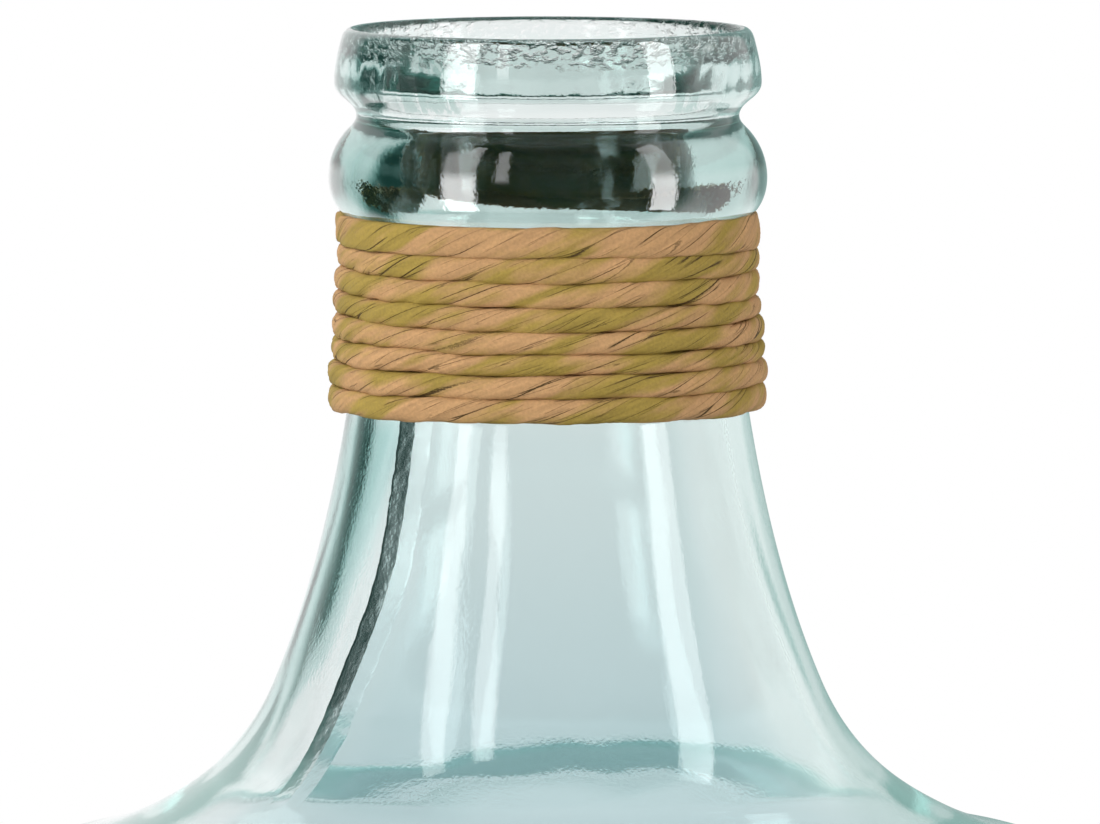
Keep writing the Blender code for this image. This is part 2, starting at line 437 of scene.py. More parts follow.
    def relief(self, sheet: GlassSheet, fold: Socket) -> Socket:
        """Adds up all that is raised on the glass.

        Args:
            sheet: The material's nodes.
            fold: The height of the fold.

        Returns:
            The normal of the raised surface.
        """
        height = sheet.math("ADD", fold, self.flats(sheet))
        ripple = sheet.noise(sheet.stretched(sheet.place, (1.0, 1.0, 0.35)), self.ripple_scale, 2.0)
        ripple = sheet.math("MULTIPLY_ADD", ripple, self.ripple_height, self.crinkle(sheet))
        height = sheet.math("ADD", height, ripple)
        grain = sheet.noise(sheet.place, self.grain_scale, 2.0)
        rough = sheet.down(self.grain_depths, self.grain_height * 0.5, self.grain_height)
        height = sheet.math("MULTIPLY_ADD", grain, rough, height)
        bump = sheet.add("ShaderNodeBump", {"Height": height, "Distance": MM, "Strength": 1.0})
        return bump.outputs["Normal"]

    def painted_shade_patches(self, sheet: GlassSheet) -> Socket:
        """Masks the painted shade: dark patches painted into the lip's glass, left and right of the front.

        Args:
            sheet: The material's nodes.

        Returns:
            The mask.
        """
        left = sheet.band(sheet.around, *self.left_shade_patches)
        right = sheet.band(sheet.around, *self.right_shade_patches)
        slanting = {"Vector": sheet.place, "Rotation": (0.0, 0.5, 0.0), "Scale": (1.0, 1.0, 0.4)}
        slanting = sheet.add("ShaderNodeMapping", slanting).outputs[0]
        patches = sheet.ramp(sheet.noise(slanting, self.shade_patch_scale, 5.0, 0.65), (0.46, 0.54))
        mask = sheet.product(sheet.math("ADD", left, right), patches, sheet.down(self.shade_patch_foot))
        return sheet.product(mask, sheet.down(self.shade_patch_top, 1.0, 0.0), sheet.inside)

    def colour(self, sheet: GlassSheet) -> Socket:
        """Gives the base colour: clear, with painted cool light deeper in the bell's front and back, painted
        shade on its left edge, and painted shade patches in the lip.

        Args:
            sheet: The material's nodes.

        Returns:
            The colour.
        """
        # Painted light: a cool tint where the bell faces front or back, deeper further down.
        facing = sheet.math("DIVIDE", sheet.math("ABSOLUTE", sheet.parts["Y"]), sheet.out)
        below = sheet.down(self.tint_top, 1.0, 0.0)
        deeper = sheet.product(below, sheet.down(self.tint_depths, *self.tint_shares))
        amount = sheet.product(sheet.ramp(facing, self.tint_facing), deeper)
        # Painted shade: the deeper teal band along the bell's left edge.
        depth = sheet.math("SUBTRACT", HEIGHT - self.side_depth * MM, sheet.parts["Z"])
        aside = sheet.math("DIVIDE", sheet.parts["X"], sheet.out)
        aside = sheet.math("MULTIPLY_ADD", depth, self.side_lean, aside)
        side = sheet.tone(sheet.product(below, sheet.ramp(aside, self.side_band)), WHITE, self.side_tint)
        bell = sheet.tone(amount, side, self.tint)
        # The lip's dark patches are painted shade, mixed into the base colour.
        return sheet.tone(self.painted_shade_patches(sheet), bell, self.shade_patch_tint)

    def last_light(self, sheet: GlassSheet) -> Socket:
        """Gives light to rays that have run round inside the wall, where the render ends them.

        Args:
            sheet: The material's nodes.

        Returns:
            The light's colour.
        """
        lip = sheet.down(self.lip_glow_depths, *self.lip_glow_shares)
        behind = sheet.ramp(sheet.parts["Y"], self.back_behind)
        back = sheet.product(behind, sheet.ramp(sheet.parts["X"], self.back_aside), self.back_glow)
        bell = sheet.math("MAXIMUM", back, sheet.down(self.low_glow_depths, *self.low_glow_shares))
        share = sheet.blend(sheet.down(self.neck_depths), bell, lip)
        turns = sheet.add("ShaderNodeLightPath").outputs["Glossy Depth"]
        share = sheet.product(share, sheet.math("GREATER_THAN", turns, self.last_turn))
        return sheet.tone(share, BLACK, self.last_glow)

    def skin(self, sheet: GlassSheet) -> Socket:
        """Gives the brighter skin on the outer side of the bulge and the collar.

        Args:
            sheet: The material's nodes.

        Returns:
            Its weight.
        """
        bulge = sheet.product(sheet.down(self.bulge_foot), sheet.down(self.bulge_top, 1.0, 0.0))
        collar = sheet.down(self.collar_foot, 0.0, self.collar_skin)
        weight = sheet.product(sheet.outside, sheet.math("MAXIMUM", bulge, collar))
        dull = sheet.band(sheet.around, *self.dull_band)
        return sheet.product(weight, sheet.math("MULTIPLY_ADD", dull, -self.dulling, 1.0))

    def material(self) -> bpy.types.Material:
        """Makes the material.

        Returns:
            The new material.
        """
        material = bpy.data.materials.new(self.name)
        material.use_nodes = True
        nodes = material.node_tree.nodes
        sheet = GlassSheet(material.node_tree)
        fold, folded = self.fold(sheet)
        normal = self.relief(sheet, fold)
        finish = {
            "IOR": self.ior,
            "Transmission Weight": 1.0,
            "Base Color": self.colour(sheet),
            "Roughness": sheet.product(folded, self.fold_roughness),
            "Emission Color": self.last_light(sheet),
            "Emission Strength": 1.0,
            "Normal": normal,
            "Coat Weight": self.skin(sheet),
            "Coat IOR": self.skin_ior,
            "Coat Roughness": self.skin_roughness,
            "Coat Normal": normal,
        }
        sheet.fill(nodes["Principled BSDF"], finish)
        body = sheet.add("ShaderNodeVolumeAbsorption", {"Color": self.body, "Density": self.density})
        sheet.fill(nodes["Material Output"], {"Volume": body.outputs["Volume"]})
        return material


@dataclass(frozen=True)
class PaperFinish:
    """Matt twisted paper, tan with olive patches.

    The patterns follow the cord's own "twist" attribute, so they run with its twist.
    """

    name: str = "paper_cord"
    tan: Colour = (0.462, 0.270, 0.124, 1.0)
    olive: Colour = (0.315, 0.224, 0.049, 1.0)
    # Painted shade: the dark colour painted into the creases.
    painted_dark_crease: Colour = (0.075, 0.045, 0.015, 1.0)
    specular: float = 0.2
    roughness: Span = (0.7, 0.9)
    olive_stretch: Triple = (0.7, 0.7, 4.2)
    olive_edge: Span = (0.40, 0.60)
    streak_stretch: Triple = (3.4, 3.4, 6.0)
    streak_shades: Span = (0.9, 1.08)
    streak_height: float = 1.6
    fibre_scale: float = 1400.0
    fibre_shades: Span = (0.91, 1.07)
    deep_stretch: Triple = (1.0, 1.0, 1.0)
    deep_width: float = 0.017
    fine_stretch: Triple = (2.3, 2.3, 2.0)
    fine_width: float = 0.016
    fine_share: float = 0.6
    crease_height: float = -1.6
    relief: float = 0.14

    def material(self) -> bpy.types.Material:
        """Makes the material.

        Returns:
            The new material.
        """
        material = bpy.data.materials.new(self.name)
        material.use_nodes = True
        sheet = NodeSheet(material.node_tree)
        twist = sheet.attribute("twist")["Vector"]
        patch = sheet.noise(sheet.stretched(twist, self.olive_stretch), 1.0, 3.0)
        tone = sheet.tone(sheet.ramp(patch, self.olive_edge), self.tan, self.olive)
        streak = sheet.noise(sheet.stretched(twist, self.streak_stretch), 1.0, 3.0)
        fibre = sheet.noise(sheet.point(), self.fibre_scale, 3.0)
        # Random streaks in tone, times the painted shade on the side that lies on the glass.
        shade = sheet.product(sheet.ramp(streak, (0.3, 0.7), *self.streak_shades), self.painted_inner_shade(sheet))
        shade = sheet.product(shade, sheet.ramp(fibre, (0.3, 0.7), *self.fibre_shades))
        # The crease masks carry both the bump and the painted shade in the creases.
        deep = self.crease_mask(sheet, twist, self.deep_stretch, self.deep_width)
        fine = self.crease_mask(sheet, twist, self.fine_stretch, self.fine_width)
        painted_dark_crease = sheet.math("MAXIMUM", deep, sheet.product(fine, self.fine_share))
        height = sheet.math("MULTIPLY_ADD", streak, self.streak_height, fibre)
        height = sheet.math("MULTIPLY_ADD", painted_dark_crease, self.crease_height, height)
        raised = {"Height": height, "Distance": self.relief * MM, "Strength": 1.0}
        finish = {
            "Specular IOR Level": self.specular,
            # The creases are painted dark, as painted shade.
            "Base Color": sheet.tone(painted_dark_crease, sheet.scaled(tone, shade), self.painted_dark_crease),
            "Roughness": sheet.ramp(fibre, (0.2, 0.8), *self.roughness),
            "Normal": sheet.add("ShaderNodeBump", raised).outputs["Normal"],
        }
        sheet.fill(material.node_tree.nodes["Principled BSDF"], finish)
        return material

    @staticmethod
    def painted_inner_shade(sheet: NodeSheet) -> Socket:
        """Paints shade on the side of the cord that lies on the glass.

        Args:
            sheet: The material's nodes.

        Returns:
            The share of the colour that stays.
        """
        geometry = sheet.add("ShaderNodeNewGeometry").outputs
        out = sheet.outward(geometry["Position"])
        facing = sheet.vector("DOT_PRODUCT", out, geometry["Normal"])["Value"]
        return sheet.ramp(facing, (-0.7, -0.1), 0.4, 1.0)

    @staticmethod
    def crease_mask(sheet: NodeSheet, twist: Socket, stretch: Triple, width: float) -> Socket:
        """Masks creases that run with the twist and fade here and there.

        Args:
            sheet: The material's nodes.
            twist: The place along and round the cord.
            stretch: How fine the creases are along each axis.
            width: Their width, as a share of the pattern's cells.

        Returns:
            The mask.
        """
        place = sheet.stretched(twist, stretch)
        line = sheet.add("ShaderNodeTexVoronoi", {"Vector": place, "Scale": 1.0}, feature="DISTANCE_TO_EDGE")
        there = sheet.noise(sheet.stretched(place, (1.3, 1.3, 5.0)), 1.0, 1.0)
        thin = sheet.ramp(line.outputs["Distance"], (width * 0.2, width), 1.0, 0.0)
        return sheet.product(sheet.ramp(there, (0.44, 0.56)), thin)


@dataclass
class GlassVessel:
    """The blown glass vessel: rolled lip, groove, bulge, neck, bell, shoulder, body and foot."""

    columns: int = 220
    row_lengths: Steps = ((50.0, 0.9), (150.0, 2.0), (190.0, 1.6), (500.0, 6.0))
    broad: Waves = Waves(11, (1, 6), 160.0, 10)
    narrow: Waves = Waves(12, (7, 22), 60.0, 14)
    fine: Waves = Waves(13, (20, 60), 9.0, 24)
    broad_share: float = 0.8
    narrow_share: float = 0.5
    ripple: float = 0.10
    lip_ripple: float = 0.06
    outer_ripple: float = 0.03
    lip_depth: float = 10.0
    lip_reach: float = 7.0
    rim_reach: float = 4.0
    floor_reach: float = 60.0
    calm_depths: Sizes = (24.0, 34.0, 60.0, 90.0)
    calm_shares: Sizes = (1.0, 0.3, 0.3, 1.0)
    lift_depths: Sizes = (160.0, 170.0, 186.0, 200.0)
    lift_shares: Sizes = (0.0, 1.0, 1.0, 0.0)
    lift_angles: Sizes = (-85.0, -60.0, -38.0, -21.0, -12.0, 0.0, 12.0, 22.0)
    lifts: Sizes = (0.0, 0.9, 1.35, 1.1, 0.75, 0.35, 0.1, 0.0)
    finish: GlassFinish = field(default_factory=GlassFinish)

    def outline(self) -> tuple[np.ndarray, np.ndarray]:
        """Gives the whole outline, from the inner floor up to the rim and down to the push-up.

        Returns:
            The (radius, depth) points in millimetres, and a mask of those on the inner side.
        """
        inner = outline_through(INNER_LEVELS, self.row_lengths)[::-1]
        outer = outline_through(OUTER_LEVELS, self.row_lengths)[1:]
        push_up = outline_through(PUSH_UP_LEVELS, self.row_lengths)
        points = np.vstack([inner, outer, push_up])
        side = np.zeros(len(points), bool)
        side[: len(inner)] = True
        return points, side

    def uneven(self, points: np.ndarray, side: np.ndarray, around: np.ndarray) -> np.ndarray:
        """Gives the radii of all points with the unevenness of hand-made glass.

        Args:
            points: The outline's points.
            side: Mask of the points on the inner side.
            around: The angles of the columns.

        Returns:
            Radii in millimetres, one row for each outline point.
        """
        radius, depth = points[:, 0][:, None], points[:, 1][:, None]
        angle = around[None, :]
        narrow = self.narrow.over(angle, depth)
        lip = np.exp(-(((depth - self.lip_depth) / self.lip_reach) ** 2)) * self.lip_ripple
        ends = np.clip(depth / self.rim_reach, 0.0, 1.0) * np.clip(radius / self.floor_reach, 0.0, 1.0)
        calm = np.interp(depth, self.calm_depths, self.calm_shares) * self.ripple
        inner = calm * (self.broad_share * self.broad.over(angle, depth) + self.narrow_share * narrow)
        inner = (inner + lip * self.fine.over(angle, depth)) * ends
        outer = self.outer_ripple * narrow * ends
        return radius + np.where(side[:, None], inner, -np.abs(outer))

    def lift(self, depth: np.ndarray, side: np.ndarray, around: np.ndarray) -> np.ndarray:
        """Gives how much thinner the shoulder is on the left, as a lift of its inner side.

        Args:
            depth: Depths of the outline points, in millimetres.
            side: Mask of the points on the inner side.
            around: The angles of the columns.

        Returns:
            Lifts in millimetres, one row for each outline point.
        """
        rise = np.interp(np.degrees(np.arcsin(np.cos(around))), self.lift_angles, self.lifts)
        there = np.interp(depth, self.lift_depths, self.lift_shares) * side
        return there[:, None] * rise[None, :]

    def build(self) -> bpy.types.Object:
        """Turns the outline into one closed mesh.

        Returns:
            The vessel's object.
        """
        points, side = self.outline()
        around = np.linspace(0.0, 2.0 * math.pi, self.columns, endpoint=False)
        radius = self.uneven(points, side, around)[1:-1]
        rings, ring_side = points[1:-1], side[1:-1]
        x = radius * np.cos(around)[None, :] * MM
        y = radius * np.sin(around)[None, :] * MM
        z = (HEIGHT / MM - rings[:, 1][:, None] + self.lift(rings[:, 1], ring_side, around)) * MM
        poles = [(0.0, 0.0, HEIGHT - points[end, 1] * MM) for end in (0, -1)]
        verts = np.vstack([np.stack([x, y, z], -1).reshape(-1, 3), poles])
        mesh = bpy.data.meshes.new("glass_vessel_clear")
        mesh.from_pydata(verts.tolist(), [], self.faces(len(rings)))
        inner = np.append(np.repeat(ring_side, self.columns), [True, False]).astype(float)
        mesh.attributes.new("inner_side", "FLOAT", "POINT").data.foreach_set("value", inner)
        shape = bmesh.new()
        shape.from_mesh(mesh)
        bmesh.ops.recalc_face_normals(shape, faces=shape.faces[:])
        shape.to_mesh(mesh)
        shape.free()
        mesh.shade_smooth()
        vessel = bpy.data.objects.new("glass_vessel_clear", mesh)
        bpy.context.scene.collection.objects.link(vessel)
        return vessel

    def faces(self, rows: int) -> list[tuple[int, ...]]:
        """Joins the rings of points by faces, and the first and the last ring to their poles.

        Args:
            rows: How many rings there are. The two poles come after their points.

        Returns:
            The corners of each face.
        """
        faces = []
        for row in range(rows - 1):
            base = row * self.columns
            for column in range(self.columns):
                after = (column + 1) % self.columns
                lower = base + self.columns
                faces.append((base + column, lower + column, lower + after, base + after))
        pole = rows * self.columns
        last = pole - self.columns
        for column in range(self.columns):
            after = (column + 1) % self.columns
            faces.append((pole, column, after))
            faces.append((pole + 1, last + after, last + column))
        return faces

    def make(self) -> bpy.types.Object:
        """Builds and dresses the vessel and sets it in the frame.

        Returns:
            The vessel's object.
        """
        vessel = self.build()
        vessel.data.materials.append(self.finish.material())
        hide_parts("glass_vessel")
        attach(vessel, "root")
        LOG.info("vessel: %d faces", len(vessel.data.polygons))
        return vessel


@dataclass
class NeckRope:
    """One length of twisted paper cord, wound eight times round the neck.

    The front, left and right depths are those of the edges between the rows, seen from the front,
    and the reach is the radius of each row's outer side, all in millimetres.
    """

    front: Sizes = (43.7, 50.2, 56.2, 62.0, 67.7, 72.7, 77.5, 83.0, 88.3)
    left: Sizes = (43.1, 50.3, 55.7, 61.3, 66.6, 72.0, 77.8, 83.6, 89.2)
    right: Sizes = (43.1, 51.0, 56.4, 62.7, 67.3, 72.9, 77.3, 82.7, 88.8)
    reach: Sizes = (49.8, 49.4, 49.8, 50.2, 50.6, 51.0, 51.6, 51.4)
    turns: int = 8
    step_turn: float = 1.0 / 3.0
    points_per_turn: int = 96
    roundness: float = 2.5
    clearance: float = 0.08
    press: float = 0.3
    glass_step: float = 0.4
    sides: int = 28
    step_length: float = 0.8
    twist: float = 143.0
    crease_count: float = 0.62
    crease_run: float = 10.0
    crease_depth: float = 0.35
    valley_width: float = 0.2
    lump_height: float = 1.2
    lump_scale: float = 0.9
    pressed_side: Span = (-0.6, 0.1)
    seed: int = 3
    seed_step: float = 17.3
    finish: PaperFinish = field(default_factory=PaperFinish)

    def edge(self, rows: float, around: float) -> float:
        """Gives the depth of the edge above a row.

        Args:
            rows: Rows down from the top, whole or part.
            around: Angle from the front, growing to the right.

        Returns:
            The depth in millimetres.
        """
        right = max(0.0, math.sin(around)) ** 2
        left = max(0.0, -math.sin(around)) ** 2
        whole = np.arange(self.turns + 1)
        depths = [float(np.interp(rows, whole, edges)) for edges in (self.front, self.right, self.left)]
        return depths[0] + right * (depths[1] - depths[0]) + left * (depths[2] - depths[0])

    def rows_down(self, turns: float) -> float:
        """Gives the rows that the cord has stepped down.

        Args:
            turns: The turns that it has made from the back.

        Returns:
            The rows, whole ones except in the step at the back.
        """
        passing = math.floor(turns + 0.5)
        share = min(max((turns - passing) / self.step_turn + 0.5, 0.0), 1.0)
        return passing - 1 + share * share * (3.0 - 2.0 * share)

    def path(self) -> tuple[list[Vector], list[float], list[float]]:
        """Winds the centre line. Each row has its own outer radius, and its inner side rests on the glass.

        Returns:
            The line's points, and half the cord's height and half its thickness at each, in metres.
        """
        glass = outline_through(OUTER_LEVELS, ((math.inf, self.glass_step),))
        start = self.step_turn / 2
        count = round((self.turns - self.step_turn) * self.points_per_turn)
        centres, halves, wides = [], [], []
        for index in range(count + 1):
            turns = start + index / self.points_per_turn
            rows = self.rows_down(turns)
            angle = 2.0 * math.pi * (turns + 0.25)
            around = angle + math.pi / 2.0
            top, bottom = self.edge(rows, around), self.edge(rows + 1.0, around)
            depth, half = (top + bottom) / 2.0, (bottom - top) / 2.0
            near = glass[np.abs(glass[:, 1] - depth) < half]
            fullness = (1.0 - (np.abs(near[:, 1] - depth) / half) ** self.roundness) ** (1.0 / self.roundness)
            reach = float(np.interp(rows, np.arange(self.turns), self.reach))
            wide = float(np.min((reach - self.clearance - near[:, 0]) / (1.0 + fullness)))
            x, y = (reach - wide) * math.cos(angle), (reach - wide) * math.sin(angle)
            centres.append(Vector((x, y, HEIGHT / MM - depth)) * MM)
            halves.append((half + self.press) * MM)
            wides.append(wide * MM)
        return centres, halves, wides

    def values(self) -> dict[str, object]:
        """Gives the tree's named inputs, in metres."""
        return {
            "Step Length": self.step_length * MM,
            "Twist": self.twist,
            "Roundness": self.roundness,
            "Crease Count": self.crease_count,
            "Crease Run": self.crease_run,
            "Crease Depth": self.crease_depth * MM,
            "Lump Height": self.lump_height * MM,
            "Sides": self.sides,
            "Seed": self.seed,
            "Material": self.finish.material(),
        }

    def tree(self, values: dict[str, object]) -> bpy.types.NodeTree:
        """Makes the tree that turns the centre line into twisted, creased paper cord.

        Args:
            values: The named inputs, for their kinds.

        Returns:
            The geometry node tree.
        """
        tree = bpy.data.node_groups.new("twisted_paper_cord", "GeometryNodeTree")
        kinds = {float: "NodeSocketFloat", int: "NodeSocketInt", bpy.types.Material: "NodeSocketMaterial"}
        tree.interface.new_socket("Geometry", in_out="INPUT", socket_type="NodeSocketGeometry")
        for name, value in values.items():
            tree.interface.new_socket(name, in_out="INPUT", socket_type=kinds[type(value)])
        tree.interface.new_socket("Geometry", in_out="OUTPUT", socket_type="NodeSocketGeometry")
        sheet = NodeSheet(tree)
        given = sheet.add("NodeGroupInput").outputs
        place = sheet.add("GeometryNodeInputPosition").outputs[0]
        tube = self.tube(sheet, given, place)
        twist, placed = self.cord_surface(sheet, given, place)
        body = self.keep(sheet, tube, "twist", twist, "FLOAT_VECTOR")
        body = sheet.add("GeometryNodeSetPosition", {"Geometry": body, "Position": placed}).outputs[0]
        body = sheet.add("GeometryNodeSetShadeSmooth", {"Geometry": body, "Shade Smooth": True}).outputs[0]
        body = sheet.add("GeometryNodeRealizeInstances", {"Geometry": body}).outputs[0]
        dressed = {"Geometry": body, "Material": given["Material"]}
        body = sheet.add("GeometryNodeSetMaterial", dressed).outputs[0]
        sheet.add("NodeGroupOutput", {"Geometry": body})
        return tree

    def tube(self, sheet: NodeSheet, given: Outputs, place: Socket) -> Socket:
        """Draws a plain tube along the centre line, which keeps its place along the line.

        Args:
            sheet: The tree's nodes.
            given: The tree's inputs.
            place: The position of each point.

        Returns:
            The tube.
        """
        line = sheet.add("GeometryNodeMeshToCurve", {"Mesh": given["Geometry"]}).outputs["Curve"]
        even = {"Curve": line, "Length": given["Step Length"]}
        line = sheet.add("GeometryNodeResampleCurve", even, mode="LENGTH").outputs["Curve"]
        along = sheet.add("GeometryNodeSplineParameter").outputs["Length"]
        line = self.keep(sheet, line, "along", along, "FLOAT")
        line = self.keep(sheet, line, "centre", place, "FLOAT_VECTOR")
        ring = sheet.add("GeometryNodeCurvePrimitiveCircle", {"Resolution": given["Sides"], "Radius": 0.002})
        swept = {"Curve": line, "Profile Curve": ring.outputs["Curve"], "Fill Caps": True}
        return sheet.add("GeometryNodeCurveToMesh", swept).outputs["Mesh"]

    def cord_surface(self, sheet: NodeSheet, given: Outputs, place: Socket) -> tuple[Socket, Socket]:
        """Shapes the tube's points into the twisted cord's squarish, creased and lumpy section.

        Args:
            sheet: The tree's nodes.
            given: The tree's inputs.
            place: The position of each point.

        Returns:
            The place along and round the twist, and the new position.
        """
        along = self.read(sheet, "along", "FLOAT")
        centre = self.read(sheet, "centre", "FLOAT_VECTOR")
        half = self.read(sheet, "half", "FLOAT")
        wide = self.read(sheet, "wide", "FLOAT")
        offset = sheet.vector("SUBTRACT", place, centre)[0]
        out = sheet.outward(centre)
        outward = sheet.vector("DOT_PRODUCT", offset, out)["Value"]
        upward = sheet.add("ShaderNodeSeparateXYZ", {0: offset}).outputs["Z"]
        angle = sheet.math("ARCTAN2", upward, outward)
        cosine, sine = sheet.math("COSINE", angle), sheet.math("SINE", angle)
        phase = sheet.math("MULTIPLY_ADD", along, sheet.product(given["Twist"], -1.0), angle)
        started = sheet.product(given["Seed"], self.seed_step)
        twist = {
            "X": sheet.product(sheet.math("COSINE", phase), given["Crease Count"]),
            "Y": sheet.product(sheet.math("SINE", phase), given["Crease Count"]),
            "Z": sheet.math("MULTIPLY_ADD", along, given["Crease Run"], started),
        }
        twist = sheet.add("ShaderNodeCombineXYZ", twist).outputs[0]
        folds = sheet.add("ShaderNodeTexVoronoi", {"Vector": twist, "Scale": 1.0}, feature="DISTANCE_TO_EDGE")
        valley = sheet.ramp(folds.outputs["Distance"], (0.0, self.valley_width), 1.0, 0.0)
        swell = sheet.math("SUBTRACT", sheet.noise(twist, self.lump_scale, 0.0), 0.5)
        size = sheet.product(swell, given["Lump Height"])
        size = sheet.math("SUBTRACT", size, sheet.product(valley, given["Crease Depth"]))
        size = sheet.product(size, sheet.ramp(cosine, self.pressed_side))
        power = given["Roundness"]
        powers = [sheet.math("POWER", sheet.math("ABSOLUTE", side), power) for side in (cosine, sine)]
        square = sheet.math("POWER", sheet.math("ADD", *powers), sheet.math("DIVIDE", -1.0, power))
        across = sheet.product(cosine, sheet.math("MULTIPLY_ADD", square, wide, size))
        up = sheet.product(sine, sheet.math("MULTIPLY_ADD", square, half, size))
        lift = sheet.add("ShaderNodeCombineXYZ", {"Z": up}).outputs[0]
        placed = sheet.vector("ADD", sheet.scaled(out, across), lift)[0]
        return twist, sheet.vector("ADD", placed, centre)[0]

    @staticmethod
    def keep(sheet: NodeSheet, geometry: Socket, name: str, value: Socket, kind: str) -> Socket:
        """Stores a named attribute on the points and gives the geometry on."""
        inputs = {"Geometry": geometry, "Name": name, "Value": value}
        return sheet.add("GeometryNodeStoreNamedAttribute", inputs, data_type=kind, domain="POINT").outputs[0]

    @staticmethod
    def read(sheet: NodeSheet, name: str, kind: str) -> Socket:
        """Reads a named attribute."""
        node = sheet.add("GeometryNodeInputNamedAttribute", {"Name": name}, data_type=kind)
        return node.outputs["Attribute"]

    def build(self) -> bpy.types.Object:
        """Winds the cord as a plain mesh.

        Returns:
            The cord's object.
        """
        centres, halves, wides = self.path()
        path = bpy.data.meshes.new("neck_rope_line")
        path.from_pydata(centres, [(index, index + 1) for index in range(len(centres) - 1)], [])
        for name, measures in (("half", halves), ("wide", wides)):
            path.attributes.new(name, "FLOAT", "POINT").data.foreach_set("value", measures)
        line = bpy.data.objects.new("neck_rope_line", path)
        bpy.context.scene.collection.objects.link(line)
        values = self.values()
        tree = self.tree(values)
        modifier = line.modifiers.new("paper_cord", "NODES")
        modifier.node_group = tree
        for item in tree.interface.items_tree:
            if item.in_out == "INPUT" and item.name in values:
                modifier[item.identifier] = values[item.name]
        graph = bpy.context.evaluated_depsgraph_get()
        mesh = bpy.data.meshes.new_from_object(line.evaluated_get(graph), depsgraph=graph)
        bpy.data.objects.remove(line, do_unlink=True)
        mesh.name = "neck_rope_paper"
        rope = bpy.data.objects.new("neck_rope_paper", mesh)
        bpy.context.scene.collection.objects.link(rope)
        return rope

    def make(self) -> bpy.types.Object:
        """Winds the cord and sets it in the frame.

        Returns:
            The cord's object.
        """
        rope = self.build()
        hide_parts("neck_rope")
        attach(rope, "root")
        LOG.info("cord: %d faces", len(rope.data.polygons))
        return rope


@dataclass(frozen=True)
class Patch:
    """A soft box or a dark card of the studio, in degrees to the right of the front and up."""

    left: float
    right: float
    low: float
    high: float
    strength: float
    soft: float = 1.5
    soft_low: float = 1.5


